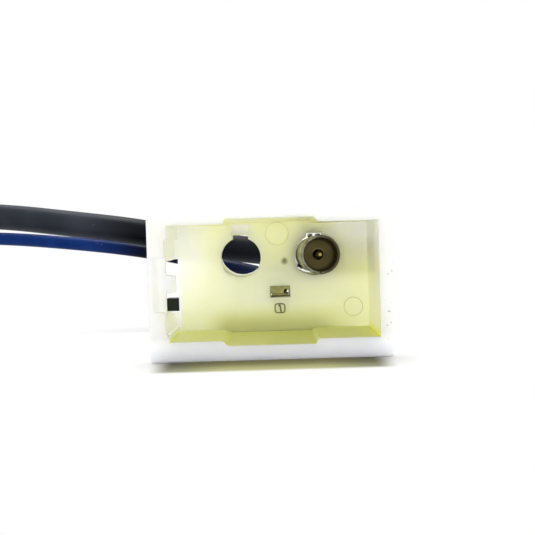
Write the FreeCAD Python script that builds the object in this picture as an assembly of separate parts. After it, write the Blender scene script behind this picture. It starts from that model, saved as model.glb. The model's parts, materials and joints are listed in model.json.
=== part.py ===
"""Car radio antenna adapter.

A natural nylon socket housing holds a coaxial antenna contact in one of its two round chambers
and a small power contact under them. The coaxial lead ends in an aerial plug, and the thin power
wire ends in a bullet terminal.

Millimetres, +Z up. The socket's mouth faces -Y. The origin lies on the table, under the middle of
the housing with its contacts. A depth is measured from the mouth's plane, towards +Y.
"""
import FreeCAD
import Part
import math
import os

Vector = FreeCAD.Vector

# Housing: the hood and its walls
hood_width = 26.0
hood_height = 15.65
hood_depth = 13.0
back_wall = 1.6
wall_left = 2.07
wall_right = 1.43
wall_bottom = 2.12
wall_top = 1.11
draft = 0.08
edge_radius = 0.55
mouth_radius = 0.18
overshoot = 0.5

# Housing: the keying reliefs in the floor and the ceiling
relief_half_width = 4.7
relief_slope = 0.62
relief_steep = 0.26
relief_depth = 0.55
relief_depth_at_back = 0.28

# Housing: the latch window in the left wall, from the floor (sill) and the ceiling (drop)
window_sill = 2.82
window_drop = 3.86
window_notch_start = 8.0
window_notch_drop = 0.64
latch_bar = 2.3
latch_ramp = 1.25
latch_lip = 0.45
pocket_depth = 0.3
pocket_sill = 0.71
pocket_drop = 1.49
nib_height = 2.0
nib_rise = 0.49
nib_reach = 0.73
nib_taper = 0.15
nib_front = 0.94
nib_slope = 0.6
nib_root = 0.1

# Housing: the coaxial chambers, a keyed hole in the back wall and a wider tower behind it
coax_pitch = 8.66
pair_centre = 0.93
coax_drop = 3.88
chamber_gap = 0.2
tower_bore_radius = 2.75
tower_floor_step = 0.03
chamber_wall = 0.9
chamber_length = 8.0
keyway_side_gap = 0.26
keyway_top_gap = 0.2
keyway_recess = 2.05
keyway_recess_depth = 0.4
keyway_recess_gap = 0.12
groove_gap = 0.05
groove_depth = 0.12
groove_angle = 50.0
chamber_web = 1.2

# Housing: the power cell
cell_x = 1.11
cell_drop = 4.15
cell_width = 2.40
cell_height = 1.36
cell_wall = 0.85
cell_length = 8.0

# Housing: moulding marks on the back wall
gate_x = 1.73
gate_drop = 0.56
gate_radius = 0.42
gate_depth = 0.22
upper_mark_x = 0.9
upper_mark_drop = 1.19
upper_mark_radius = 1.35
lower_mark_inset = 1.87
lower_mark_sill = 2.38
lower_mark_radius = 1.1
ejector_depth = 0.06

# Side lock bar behind the back wall
lock_height = 1.5
lock_engage = 0.44
lock_thickness = 2.2
lock_inset = 0.4
lock_reach = 3.29
lock_gap = 0.7
lock_clearance = 0.08
lock_bite = 0.45
lock_bite_width = 1.4
lock_bevel = 0.08
lock_bracket = 2.6
lock_bracket_wall = 0.9
lock_bracket_inset = 4.8

# Coaxial lead: the layers of the cable
jacket_radius = 1.95
braid_radius = 1.5
dielectric_radius = 1.12
core_radius = 0.3

# Antenna contact, which sits to the upper right in its chamber and leans that way, per mm of depth
contact_shift = (0.1, 0.13)
contact_lean = (0.009, 0.018)
shell_radius = 2.13
shell_wall = 0.28
shell_rim = 1.8
shell_behind = 4.6
shell_seam = 0.14
tail_wall = 0.2
tail_length = 4.6
shell_key_width = 1.3
shell_key_slit = 0.5
shell_key_reach = 0.3
shell_key_setback = 0.1
shell_key_length = 4.4
tang_width = 0.7
tang_start = 0.3
tang_length = 2.6
tang_reach = 0.22
insulator_recess = 5.0
insulator_inset = 0.6
insulator_gap = 0.02
insulator_bevel = 0.25
insulator_bore_radius = 0.62
insulator_bore_depth = 5.6
pin_radius = 0.31
pin_setback = 0.8
pin_collar_radius = 0.62
pin_barrel_radius = 0.52
pin_collar = 1.2
core_grip = 2.2
sleeve_wall = 0.25
jacket_grip = 2.5

# Power contact and the wire's layers
wire_radius = 0.875
strand_radius = 0.5
contact_wall = 0.22
contact_width = 2.66
contact_height = 2.1
contact_length = 5.4
contact_gap = 0.1
flap_gap = 0.37
entry_radius = 0.3
entry_shift = (0.72, -0.08)
tongue_width = 2.0
tongue_front = 0.2
tongue_bend = 1.6
tongue_heights = (0.45, 0.57, 0.12)
keel_width = 0.8
barrel_length = 1.9
barrel_gap = 0.6
wire_grip = 1.6

# Aerial plug
cap_wall = 0.7
cap_length = 23.0
cap_neck_radius = 3.3
cap_neck_length = 4.0
cap_taper = 5.0
cap_bevel = 0.45
cap_flute_count = 10
cap_flute_radius = 1.1
cap_flute_depth = 0.32
cap_lip = 1.6
plug_sleeve_radius = 4.7
plug_sleeve_wall = 0.4
plug_sleeve_length = 21.5
plug_sleeve_slots = 4
plug_slot_width = 0.7
plug_crown_setback = 3.4
plug_crown_run = 2.4
plug_crown_swell = 0.12
plug_waist = 0.15
plug_nose_length = 0.5
plug_nose_bevel = 0.4
plug_slot_length = 9.5
plug_sleeve_seat = 11.0
plug_disc_length = 5.0
plug_pin_radius = 1.6
plug_pin_neck = 1.25
plug_pin_reach = 10.5
plug_pin_gap = 0.3
plug_tail_radius = 0.75
plug_tail_length = 3.6
clamp_length = 4.0

# Bullet terminal
bullet_radius = 2.0
bullet_neck = 1.45
bullet_length = 8.6
bullet_neck_length = 1.4
bullet_slope = 0.6
bullet_groove = 0.6
bullet_groove_setback = 3.7
bullet_nose = 1.6
bullet_barrel = 1.55
bullet_barrel_length = 5.0
bullet_cover_wall = 0.35
bullet_cover_reach = 1.5
bullet_cover_overhang = 2.2

# Sizes that follow from the driving ones
half_width = hood_width / 2
cavity_left = wall_left - half_width
cavity_right = half_width - wall_right
cavity_top = hood_height - wall_top
back_face = hood_depth + back_wall
window_low = wall_bottom + window_sill
window_high = cavity_top - window_drop
window_middle = (window_low + window_high) / 2
chamber_back = back_face + chamber_length
chamber_x = (pair_centre - coax_pitch / 2, pair_centre + coax_pitch / 2)
coax_height = cavity_top - coax_drop
chamber_radius = shell_radius + chamber_gap
tower_height = coax_height + tower_bore_radius - chamber_radius - tower_floor_step
cell_z = coax_height - cell_drop
keyway_width = shell_key_width + 2 * keyway_side_gap
keyway_height = shell_radius + shell_key_reach + keyway_top_gap
groove_width = tang_width + 2 * groove_gap
lock_left = lock_inset - half_width
lock_right = cell_x + lock_reach
lock_high = cell_z - contact_height / 2 + lock_engage
lock_low = lock_high - lock_height
lock_back = back_face + lock_gap + lock_thickness
cap_radius = plug_sleeve_radius + cap_wall
shell_back = back_face + shell_behind
insulator_front = shell_rim + insulator_recess
insulator_back = shell_back - insulator_inset
tail_back = shell_back + tail_length
sleeve_back = tail_back + jacket_grip
overall_depth = sleeve_back
tail_radius = dielectric_radius + tail_wall
braid_over_tail = tail_radius + braid_radius - dielectric_radius
contact_front = back_face + contact_gap
contact_back = contact_front + contact_length
barrel_back = contact_back + barrel_gap + barrel_length
wire_grip_front = barrel_back + barrel_gap / 2
wire_grip_back = wire_grip_front + wire_grip
bullet_lie = max(bullet_radius, bullet_barrel + bullet_cover_wall)

# The lead and the wire, from their straight exits to the plug and the terminal
bend_share = 0.45
coax_exit = 6.15
wire_exit = 5.65
coax_route = [
    (2.95, 23.9, 10.6), (-2.5, 29.95, 10.95), (-10.3, 33.1, 12.1), (-19.5, 33.2, 14.25),
    (-29.6, 34.7, 15.65), (-40.2, 38.6, 17.1), (-52.0, 40.2, 17.85), (-64.6, 36.4, 16.9),
    (-76.6, 28.6, 13.4), (-85.8, 17.6, 8.4), (-90.9, 4.3, 3.9), (-92.6, -10.6, 1.97),
    (-90.6, -25.4, 1.97), (-82.6, -37.4, 1.97), (-69.8, -43.8, 1.97), (-55.6, -42.6, 1.97),
    (-44.6, -33.4, 2.3), (-39.6, -20.2, 4.0), (-40.0, -8.0, cap_radius), (-42.4, 3.4, cap_radius),
]
wire_route = [
    (-0.6, 21.6, 7.7), (-4.9, 26.7, 8.6), (-11.4, 29.4, 9.85), (-19.6, 30.0, 11.5),
    (-29.3, 31.4, 12.7), (-40.2, 35.2, 13.8), (-52.6, 38.2, 14.2), (-66.0, 35.2, 13.0),
    (-78.2, 27.6, 9.4), (-85.6, 17.0, 4.6), (-88.2, 5.4, 1.5), (-88.6, -7.4, 0.9),
    (-86.0, -19.6, 0.9), (-78.6, -29.0, 0.9), (-67.6, -33.2, 0.9), (-57.8, -30.4, 1.3),
    (-52.4, -22.0, bullet_lie), (-50.6, -13.4, bullet_lie),
]


def deep(depth):
    """The Y of a depth behind the mouth."""
    return depth - overall_depth / 2


def block(x, depth, z):
    """A box between two values along each direction."""
    corner = Vector(x[0], deep(depth[0]), z[0])
    return Part.makeBox(x[1] - x[0], depth[1] - depth[0], z[1] - z[0], corner)


def outline(points, depth):
    """A closed polygon of (x, z) corners in the plane at a depth."""
    corners = [Vector(x, deep(depth), z) for x, z in points]
    return Part.makePolygon(corners + corners[:1])


def tapered(front, back, low, high):
    """The solid between one polygon at a depth and another behind it."""
    return Part.makeLoft([outline(front, low), outline(back, high)], True, True)


def plate(corners, x, width):
    """A flat plate of (depth, z) corners, as wide as given about an x."""
    points = [Vector(x - width / 2, deep(depth), z) for depth, z in corners]
    return Part.Face(Part.makePolygon(points + points[:1])).extrude(Vector(width, 0, 0))


def rod(x, z, radius, low, high):
    """A round bar along the depth."""
    return Part.makeCylinder(radius, high - low, Vector(x, deep(low), z), Vector(0, 1, 0))


def tube(x, z, outer, inner, low, high):
    """A round tube along the depth."""
    return rod(x, z, outer, low, high).cut(rod(x, z, inner, low, high))


def turned(corners):
    """A solid of revolution about the local +Y axis, from (along, radius) corners."""
    points = [Vector(radius, along, 0) for along, radius in corners]
    face = Part.Face(Part.makePolygon(points + points[:1]))
    return face.revolve(Vector(), Vector(0, 1, 0), 360)


def on_axis(corners):
    """A solid of revolution about the depth axis, from (depth, radius) corners."""
    return turned(corners).translated(Vector(0, deep(0), 0))


def placed(shape, origin, direction):
    """The shape with its local +Y axis laid along a direction from an origin."""
    turn = FreeCAD.Placement(origin, FreeCAD.Rotation(Vector(0, 1, 0), direction))
    return shape.transformed(turn.toMatrix())


def spoke(shape, angle, x, z):
    """The shape turned about the depth axis through (x, z); 0 degrees points up."""
    copy = shape.copy()
    copy.rotate(Vector(x, 0, z), Vector(0, 1, 0), angle)
    return copy


def contact_way():
    """The direction of the antenna contact's axis, away from the mouth."""
    return Vector(-contact_lean[0], 1, -contact_lean[1]).normalize()


def contact_point(depth):
    """A point of the antenna contact's axis, counted along it from the back wall's face."""
    x, z = chamber_x[1] + contact_shift[0], coax_height + contact_shift[1]
    return Vector(x, deep(hood_depth), z) + contact_way() * (depth - hood_depth)


def seated(shape):
    """A piece of the antenna contact, drawn about the depth axis, laid where the contact sits."""
    drawn = shape.translated(Vector(0, -deep(hood_depth), 0))
    return placed(drawn, contact_point(hood_depth), contact_way())


def hood():
    """The outer block with its rounded long edges and rounded front edges."""
    body = block((-half_width, half_width), (0, back_face), (0, hood_height))
    long_edges = [e for e in body.Edges if abs(e.tangentAt(e.FirstParameter).y) > 0.99]
    body = body.makeFillet(edge_radius, long_edges)
    front = [e for e in body.Edges if max(v.Y for v in e.Vertexes) < deep(0) + 0.001]
    return body.makeFillet(mouth_radius, front)


def cavity():
    """The hollow of the mouth, drawn in a little towards its back."""
    def section(inset):
        left, right = cavity_left + inset, cavity_right - inset
        low, high = wall_bottom + inset, cavity_top - inset
        return [(left, low), (right, low), (right, high), (left, high)]

    return tapered(section(0), section(draft), 0, hood_depth)


def relief(surface, side):
    """A keying groove in the floor (side -1) or the ceiling (side 1), shallower at the back.

    One flank is sloped and the other steep; the ceiling's groove is the floor's, turned half round.
    """
    def section(depth, level):
        inner = level - side * relief_depth
        ends = [
            (side * (relief_half_width + relief_slope), level),
            (side * relief_half_width, level + side * depth),
            (-side * relief_half_width, level + side * depth),
            (-side * (relief_half_width + relief_steep), level),
        ]
        return ends + [(ends[3][0], inner), (ends[0][0], inner)]

    at_back = surface - side * draft
    return tapered(
        section(relief_depth, surface), section(relief_depth_at_back, at_back), 0, hood_depth
    )


def latch_window():
    """What the left wall loses: window, notch for the lock, pocket and the ramp on the bar."""
    across = (-half_width - overshoot, cavity_left + draft)
    window = block(across, (latch_bar, back_face), (window_low, window_high))
    notch_low = window_low - window_notch_drop
    notch = block(across, (window_notch_start, back_face), (notch_low, window_high))
    pocket = block(
        (cavity_left - pocket_depth, cavity_left + draft), (0, hood_depth),
        (wall_bottom + pocket_sill, cavity_top - pocket_drop),
    )
    ramp_start = -half_width + latch_lip
    inner = cavity_left - pocket_depth
    corners = [
        Vector(ramp_start, deep(0), window_low + latch_lip),
        Vector(inner, deep(0), window_low + latch_lip),
        Vector(inner, deep(latch_ramp), window_low + latch_lip),
    ]
    triangle = Part.Face(Part.makePolygon(corners + corners[:1]))
    ramp = triangle.extrude(Vector(0, 0, window_high - window_low))
    return [window, notch, pocket, ramp]


def latch_nib():
    """The catch on the bar, which stands into the mouth and narrows towards its tip."""
    root = cavity_left - pocket_depth - nib_root
    tip = cavity_left + nib_reach
    middle = window_middle + nib_rise
    sections = []
    for x, start, taper in ((root, nib_front, 0), (tip, nib_front + nib_slope, nib_taper)):
        half = nib_height / 2 - taper
        corners = [
            Vector(x, deep(start), middle - half), Vector(x, deep(latch_bar), middle - half),
            Vector(x, deep(latch_bar), middle + half), Vector(x, deep(start), middle + half),
        ]
        sections.append(Part.makePolygon(corners + corners[:1]))
    return Part.makeLoft(sections, True, True)


def chamber_tower(x):
    """The tube behind the back wall round one coaxial contact."""
    return rod(x, tower_height, tower_bore_radius + chamber_wall, hood_depth, chamber_back)


def chamber_bore(x):
    """A coaxial chamber: a hole with a keyway and two tang grooves, and the tower's wider bore."""
    front, back = hood_depth - overshoot, back_face + overshoot
    hole = rod(x, coax_height, chamber_radius, front, back)
    half = keyway_width / 2
    keyway = block((x - half, x + half), (front, back), (coax_height, coax_height + keyway_height))
    half = groove_width / 2
    groove = block(
        (x - half, x + half), (front, back), (coax_height, coax_height + chamber_radius + groove_depth)
    )
    grooves = [spoke(groove, 180 + side * groove_angle, x, coax_height) for side in (-1, 1)]
    wide = rod(x, tower_height, tower_bore_radius, back_face, chamber_back + overshoot)
    return hole.multiFuse([keyway, wide] + grooves)


def keyway_window(x):
    """The shallow recess in the back wall over a keyway, up to the ceiling."""
    half = keyway_recess / 2
    low = coax_height + keyway_height + keyway_recess_gap
    return block(
        (x - half, x + half),
        (hood_depth - overshoot, hood_depth + keyway_recess_depth),
        (low, cavity_top - draft),
    )


def cell_tower():
    """The rectangular chamber behind the power cell."""
    half_x = contact_width / 2 + cell_wall
    half_z = contact_height / 2 + cell_wall
    return block(
        (cell_x - half_x, cell_x + half_x),
        (hood_depth, back_face + cell_length),
        (cell_z - half_z, cell_z + half_z),
    )


def cell_hollow():
    """The power cell's front opening and the wider chamber behind the back wall."""
    opening = block(
        (cell_x - cell_width / 2, cell_x + cell_width / 2),
        (hood_depth - overshoot, back_face + overshoot),
        (cell_z - cell_height / 2, cell_z + cell_height / 2),
    )
    half_x = contact_width / 2 + contact_gap
    half_z = contact_height / 2 + contact_gap
    chamber = block(
        (cell_x - half_x, cell_x + half_x),
        (back_face, back_face + cell_length + overshoot),
        (cell_z - half_z, cell_z + half_z),
    )
    return opening.fuse(chamber)


def lock_slot():
    """The straight way for the lock bar through the bracket and the power chamber."""
    return block(
        (lock_left - overshoot, lock_right + lock_clearance),
        (back_face + lock_gap - lock_clearance, lock_back + lock_clearance),
        (lock_low - lock_clearance, lock_high + lock_clearance),
    )


def lock_bracket_block():
    """The guide behind the back wall that carries the lock bar's free end."""
    left = lock_bracket_inset - half_width
    return block(
        (left, left + lock_bracket),
        (hood_depth, lock_back + lock_bracket_wall),
        (lock_low - lock_bracket_wall, lock_high + lock_bracket_wall),
    )


def housing():
    """The nylon moulding: hood, back wall, chambers, power cell and lock guides."""
    body = hood().cut(cavity().multiFuse([relief(wall_bottom, -1), relief(cavity_top, 1)]))
    body = body.cut(latch_window()).fuse(latch_nib())
    web = block(
        chamber_x, (hood_depth, chamber_back),
        (coax_height - chamber_web / 2, coax_height + chamber_web / 2),
    )
    towers = [chamber_tower(x) for x in chamber_x]
    body = body.multiFuse(towers + [web, cell_tower(), lock_bracket_block()])
    holes = [chamber_bore(x) for x in chamber_x] + [keyway_window(x) for x in chamber_x]
    gate = Part.makeCone(
        gate_radius, gate_radius * 0.4, gate_depth,
        Vector(gate_x, deep(hood_depth), coax_height - gate_drop), Vector(0, 1, 0),
    )
    marks = [
        rod(x, z, radius, hood_depth - overshoot, hood_depth + ejector_depth)
        for x, z, radius in (
            (upper_mark_x, cavity_top - upper_mark_drop, upper_mark_radius),
            (cavity_right - lower_mark_inset, wall_bottom + lower_mark_sill, lower_mark_radius),
        )
    ]
    body = body.cut(holes + [cell_hollow(), lock_slot(), gate] + marks)
    return body.removeSplitter()


def lock_bar():
    """The dark side lock, pushed in from the left behind the back wall."""
    front = back_face + lock_gap
    bar = block((lock_left, lock_right), (front, lock_back), (lock_low, lock_high))
    edges = [e for e in bar.Edges if max(v.X for v in e.Vertexes) < lock_left + 0.001]
    bar = bar.makeChamfer(lock_bevel, edges)
    relief_low = cell_z - contact_height / 2 - contact_gap
    half = contact_width / 2 + contact_gap
    seat = block(
        (cell_x - half, cell_x + half),
        (front - overshoot, lock_back + overshoot),
        (relief_low, lock_high + overshoot),
    )
    bite = block(
        (cell_x - lock_bite_width / 2, cell_x + lock_bite_width / 2),
        (lock_back - lock_bite, lock_back),
        (relief_low - lock_bite, lock_high),
    )
    return bar.cut(seat).fuse(bite)


def antenna_shell():
    """The rolled outer contact: tube, seam, split key, tangs and the tail under the braid."""
    inner = shell_radius - shell_wall
    shell = on_axis([
        (shell_rim, inner), (shell_rim, shell_radius - shell_wall * 0.3),
        (shell_rim + shell_wall * 0.7, shell_radius), (shell_back, shell_radius),
        (shell_back + shell_wall, tail_radius), (tail_back, tail_radius),
        (tail_back, dielectric_radius), (shell_back, dielectric_radius), (shell_back, inner),
    ])
    seam = block(
        (-shell_seam / 2, shell_seam / 2), (shell_rim - overshoot, shell_back - shell_wall),
        (-shell_radius - overshoot, 0),
    )
    root = shell_radius - shell_wall / 2
    key_front = hood_depth + shell_key_setback
    lug = block(
        (shell_key_slit / 2, shell_key_width / 2), (key_front, key_front + shell_key_length),
        (root, shell_radius + shell_key_reach),
    )
    lugs = [lug, lug.mirror(Vector(), Vector(1, 0, 0))]
    front, back = back_face + tang_start, back_face + tang_length
    wedge = plate([(front, root), (back, shell_radius + tang_reach), (back, root)], 0, tang_width)
    tangs = [spoke(wedge, 180 + side * groove_angle, 0, 0) for side in (-1, 1)]
    return seated(shell.cut(seam).multiFuse(lugs + tangs))


def antenna_insulator():
    """The dark insulator between the shell and the centre pin, bored out round the pin."""
    outer = shell_radius - shell_wall - insulator_gap
    middle = insulator_back - pin_collar
    bore_back = insulator_front + insulator_bore_depth
    return seated(on_axis([
        (insulator_front, insulator_bore_radius), (insulator_front, outer - insulator_bevel),
        (insulator_front + insulator_bevel, outer), (insulator_back, outer),
        (insulator_back, pin_collar_radius), (middle, pin_collar_radius), (middle, pin_radius),
        (bore_back, pin_radius), (bore_back, insulator_bore_radius),
    ]))


def antenna_pin():
    """The gilt centre pin with its collar and the barrel on the cable's core."""
    tip = shell_rim + pin_setback
    collar_front = insulator_back - pin_collar
    barrel_back_end = insulator_back + core_grip
    return seated(on_axis([
        (tip, 0), (tip, pin_radius * 0.55), (tip + pin_radius * 0.3, pin_radius * 0.88),
        (tip + pin_radius, pin_radius), (collar_front, pin_radius),
        (collar_front, pin_collar_radius), (insulator_back, pin_collar_radius),
        (insulator_back, pin_barrel_radius), (barrel_back_end, pin_barrel_radius),
        (barrel_back_end, core_radius), (insulator_back - pin_collar / 2, core_radius),
        (insulator_back - pin_collar / 2, 0),
    ]))


def sleeve_of(inner, outer, low, high):
    """A plain tube about the local +Y axis."""
    return turned([(low, inner), (low, outer), (high, outer), (high, inner)])


def cable_end(end, braid_length, dielectric_length, core_length, origin, direction):
    """The stripped layers of the lead in front of its jacket's end face: braid, dielectric, core."""
    layers = {
        f"braid_{end}": sleeve_of(tail_radius, braid_over_tail, 0, braid_length),
        f"dielectric_{end}": sleeve_of(core_radius, dielectric_radius, 0, dielectric_length),
        f"core_{end}": sleeve_of(0, core_radius, 0, core_length),
    }
    return {name: placed(layer, origin, direction) for name, layer in layers.items()}


def crimp_sleeve():
    """The stepped crimp sleeve over the braid and the end of the jacket."""
    front = shell_back + shell_wall * 2
    outer = braid_over_tail + sleeve_wall
    grip = jacket_radius + sleeve_wall
    return seated(on_axis([
        (front, braid_over_tail), (front, outer), (tail_back - sleeve_wall * 2, outer),
        (tail_back, grip), (sleeve_back, grip), (sleeve_back, jacket_radius),
        (tail_back, jacket_radius), (tail_back, braid_over_tail),
    ]))


def power_contact():
    """The folded power contact: box, front flap, tongue, strand barrel and insulation barrel."""
    half_x, half_z = contact_width / 2, contact_height / 2
    x, z = cell_x, cell_z
    box = block((x - half_x, x + half_x), (contact_front, contact_back), (z - half_z, z + half_z))
    wall = contact_wall
    hollow = block(
        (x - half_x + wall, x + half_x - wall),
        (contact_front - overshoot, contact_back + overshoot),
        (z - half_z + wall, z + half_z - wall),
    )
    flap = block(
        (x - half_x, x + half_x), (contact_front, contact_front + wall),
        (z - cell_height / 2 + flap_gap, z + half_z),
    )
    entry = rod(
        x + entry_shift[0], z + entry_shift[1], entry_radius,
        contact_front - overshoot, contact_front + wall + overshoot,
    )
    box = box.cut(hollow).fuse(flap.cut(entry))
    low = z - half_z + wall
    front, bend_at = contact_front + wall + tongue_front, contact_front + tongue_bend
    tongue = plate([
        (front, low + tongue_heights[0]), (bend_at, low + tongue_heights[1]),
        (contact_back, low + tongue_heights[2]), (contact_back, low - wall / 2),
        (bend_at, low + tongue_heights[1] - wall), (front, low + tongue_heights[0] - wall),
    ], x, tongue_width)
    strands = tube(x, z, strand_radius + wall, strand_radius, contact_back + barrel_gap, barrel_back)
    grip = tube(x, z, wire_radius + wall, wire_radius, wire_grip_front, wire_grip_back)
    under_strands = z - strand_radius - wall
    under_wire = z - wire_radius - wall
    keel = plate([
        (contact_back - wall, z - half_z), (contact_back + barrel_gap, under_strands),
        (barrel_back, under_strands), (wire_grip_front, under_wire),
        (wire_grip_front + wall, under_wire),
        (wire_grip_front + wall, under_wire + wall), (wire_grip_front, under_wire + wall),
        (barrel_back, under_strands + wall), (contact_back + barrel_gap, under_strands + wall),
        (contact_back, z - half_z + wall), (contact_back - wall, z - half_z + wall),
    ], x, keel_width)
    keel = keel.cut(rod(x, z, strand_radius, contact_back, barrel_back + barrel_gap / 4))
    keel = keel.cut(rod(x, z, wire_radius, wire_grip_front, wire_grip_back))
    notch = block(
        (x - lock_bite_width / 2 - contact_gap, x + lock_bite_width / 2 + contact_gap),
        (lock_back - lock_bite - contact_gap, lock_back + contact_gap),
        (z - half_z - overshoot, lock_high + contact_gap),
    )
    return box.multiFuse([tongue, strands, grip, keel]).cut(notch).removeSplitter()


def bend(before, corner, after):
    """A cord's bend at a corner of its route: the arc's ends, its middle and its radius."""
    run_in, run_out = corner - before, after - corner
    reach = bend_share * min(run_in.Length, run_out.Length)
    way_in, way_out = Vector(run_in).normalize(), Vector(run_out).normalize()
    half_turn = way_in.getAngle(way_out) / 2
    radius = reach / math.tan(half_turn)
    towards_centre = (way_out - way_in).normalize()
    middle = corner + towards_centre * (radius / math.cos(half_turn) - radius)
    return corner - way_in * reach, middle, corner + way_out * reach, radius


def cord(name, points, radius):
    """A cord along a route: straight runs joined by tangent arcs."""
    edges, start, radii = [], points[0], []
    for before, corner, after in zip(points, points[1:], points[2:]):
        arc_start, middle, arc_end, arc_radius = bend(before, corner, after)
        edges.append(Part.LineSegment(start, arc_start).toShape())
        edges.append(Part.Arc(arc_start, middle, arc_end).toShape())
        start = arc_end
        radii.append(arc_radius)
    edges.append(Part.LineSegment(start, points[-1]).toShape())
    path = Part.Wire(edges)
    section = Part.Wire(Part.makeCircle(radius, points[0], points[1] - points[0]))
    solid = path.makePipeShell([section], True, False)
    share = solid.Volume / (math.pi * radius ** 2 * path.Length)
    diameters = " ".join(f"{r / radius / 2:.1f}" for r in radii)
    print(f"{name}: {path.Length:.1f} mm, volume over section times length {share:.4f}")
    print(f"  bend radii in diameters: {diameters}")
    return solid


def way_of(points):
    """The direction of a route's last run."""
    return (points[-1] - points[-2]).normalize()


def plug_cap():
    """The moulded grip of the aerial plug, fluted round its middle."""
    taper_end = cap_neck_length + cap_taper
    bore = plug_sleeve_radius
    seat = plug_sleeve_seat
    clamp = braid_over_tail + sleeve_wall
    bevel = cap_bevel
    profile = [
        (0, jacket_radius), (0, cap_neck_radius - bevel), (bevel, cap_neck_radius),
        (cap_neck_length, cap_neck_radius), (taper_end, cap_radius),
        (cap_length - bevel, cap_radius), (cap_length, cap_radius - bevel), (cap_length, bore),
        (seat, bore), (seat, clamp), (cap_neck_length, clamp), (cap_neck_length, jacket_radius),
    ]
    body = turned(profile)
    flute_low, flute_high = taper_end + cap_lip, cap_length - cap_lip
    offset = cap_radius + cap_flute_radius - cap_flute_depth
    flute = Part.makeCylinder(
        cap_flute_radius, flute_high - flute_low, Vector(offset, flute_low, 0), Vector(0, 1, 0)
    )
    flutes = []
    for index in range(cap_flute_count):
        copy = flute.copy()
        copy.rotate(Vector(), Vector(0, 1, 0), 360 / cap_flute_count * (index + 0.5))
        flutes.append(copy)
    return body.cut(flutes)


def plug_sleeve():
    """The plug's outer contact, slotted into four springy fingers with a swelling near the end."""
    low, high = plug_sleeve_seat, plug_sleeve_seat + plug_sleeve_length
    inner = plug_sleeve_radius - plug_sleeve_wall
    outer = plug_sleeve_radius
    crown = high - plug_crown_setback
    waist = crown - plug_crown_run
    nose_inner = inner - plug_waist - plug_nose_bevel
    profile = [
        (cap_neck_length, dielectric_radius), (cap_neck_length, tail_radius), (low, tail_radius),
        (low, outer), (cap_length, outer), (waist, outer - plug_waist), (crown, outer + plug_crown_swell),
        (high - plug_nose_length, outer - plug_nose_bevel), (high, outer - 2 * plug_nose_bevel),
        (high, nose_inner), (crown, inner), (waist, inner - plug_waist), (cap_length, inner),
        (low + plug_sleeve_wall, inner), (low + plug_sleeve_wall, dielectric_radius),
    ]
    sleeve = turned(profile)
    slots = []
    for index in range(plug_sleeve_slots):
        slot = Part.makeBox(
            plug_slot_width, plug_slot_length, 2 * outer,
            Vector(-plug_slot_width / 2, high - plug_slot_length, 0),
        )
        slot.rotate(Vector(), Vector(0, 1, 0), 360 / plug_sleeve_slots * (index + 0.5))
        slots.append(slot)
    return sleeve.cut(slots)


def plug_disc():
    """The insulating disc that holds the plug's pin in the sleeve."""
    low, high = plug_sleeve_seat + plug_sleeve_wall, plug_sleeve_seat + plug_disc_length
    inner = plug_sleeve_radius - plug_sleeve_wall
    shoulder = plug_sleeve_seat + plug_disc_length / 2
    return turned([
        (low, plug_tail_radius), (low, inner), (high, inner), (high, plug_pin_neck),
        (shoulder, plug_pin_neck), (shoulder, plug_tail_radius),
    ])


def plug_pin():
    """The plug's centre pin, with a round nose and a hollow tail on the lead's core."""
    disc_front = plug_sleeve_seat + plug_disc_length
    shoulder = plug_sleeve_seat + plug_disc_length / 2
    tip = plug_sleeve_seat + plug_sleeve_length + plug_pin_reach
    nose = []
    for angle in (0, 25, 50, 72):
        rise, out = math.sin(math.radians(angle)), math.cos(math.radians(angle))
        nose.append((tip - plug_pin_radius * (1 - rise), plug_pin_radius * out))
    tail = plug_sleeve_seat - plug_tail_length
    pin_back = disc_front + plug_pin_gap
    profile = [
        (tail, core_radius), (tail, plug_tail_radius), (shoulder, plug_tail_radius),
        (shoulder, plug_pin_neck), (pin_back, plug_pin_neck), (pin_back, plug_pin_radius),
    ] + nose + [(tip, 0), (shoulder, 0), (shoulder, core_radius)]
    return turned(profile)


def plug_clamp():
    """The ferrule that clamps the braid on the sleeve's tail inside the plug."""
    low = cap_neck_length + sleeve_wall
    return sleeve_of(braid_over_tail, braid_over_tail + sleeve_wall, low, low + clamp_length)


def bullet_terminal():
    """The brass bullet with its grooved head and the barrel crimped on the strands."""
    high = bullet_cover_overhang + bullet_barrel_length
    tip = high + bullet_length
    inner = strand_radius
    neck_end = high + bullet_slope + bullet_neck_length
    groove = tip - bullet_groove_setback
    half, slope = bullet_groove / 2, bullet_radius - bullet_neck
    profile = [
        (bullet_cover_overhang, inner), (bullet_cover_overhang, bullet_barrel), (high, bullet_barrel),
        (high + bullet_slope, bullet_neck), (neck_end, bullet_neck),
        (neck_end + bullet_slope, bullet_radius), (groove - half - slope, bullet_radius),
        (groove - half, bullet_neck), (groove + half, bullet_neck),
        (groove + half + slope, bullet_radius), (tip - bullet_nose, bullet_radius),
        (tip - bullet_nose / 3, bullet_radius * 0.72), (tip, bullet_radius * 0.3), (tip, 0),
        (high, 0), (high, inner),
    ]
    return turned(profile)


def bullet_cover():
    """The soft sleeve over the bullet's barrel and the end of the wire."""
    inner = bullet_barrel
    front = bullet_cover_overhang + bullet_barrel_length + bullet_cover_reach
    outer = inner + bullet_cover_wall
    profile = [
        (0, wire_radius), (0, inner), (bullet_cover_wall, outer), (front, outer), (front, inner),
        (bullet_cover_overhang, inner), (bullet_cover_overhang, wire_radius),
    ]
    return turned(profile)


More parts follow.
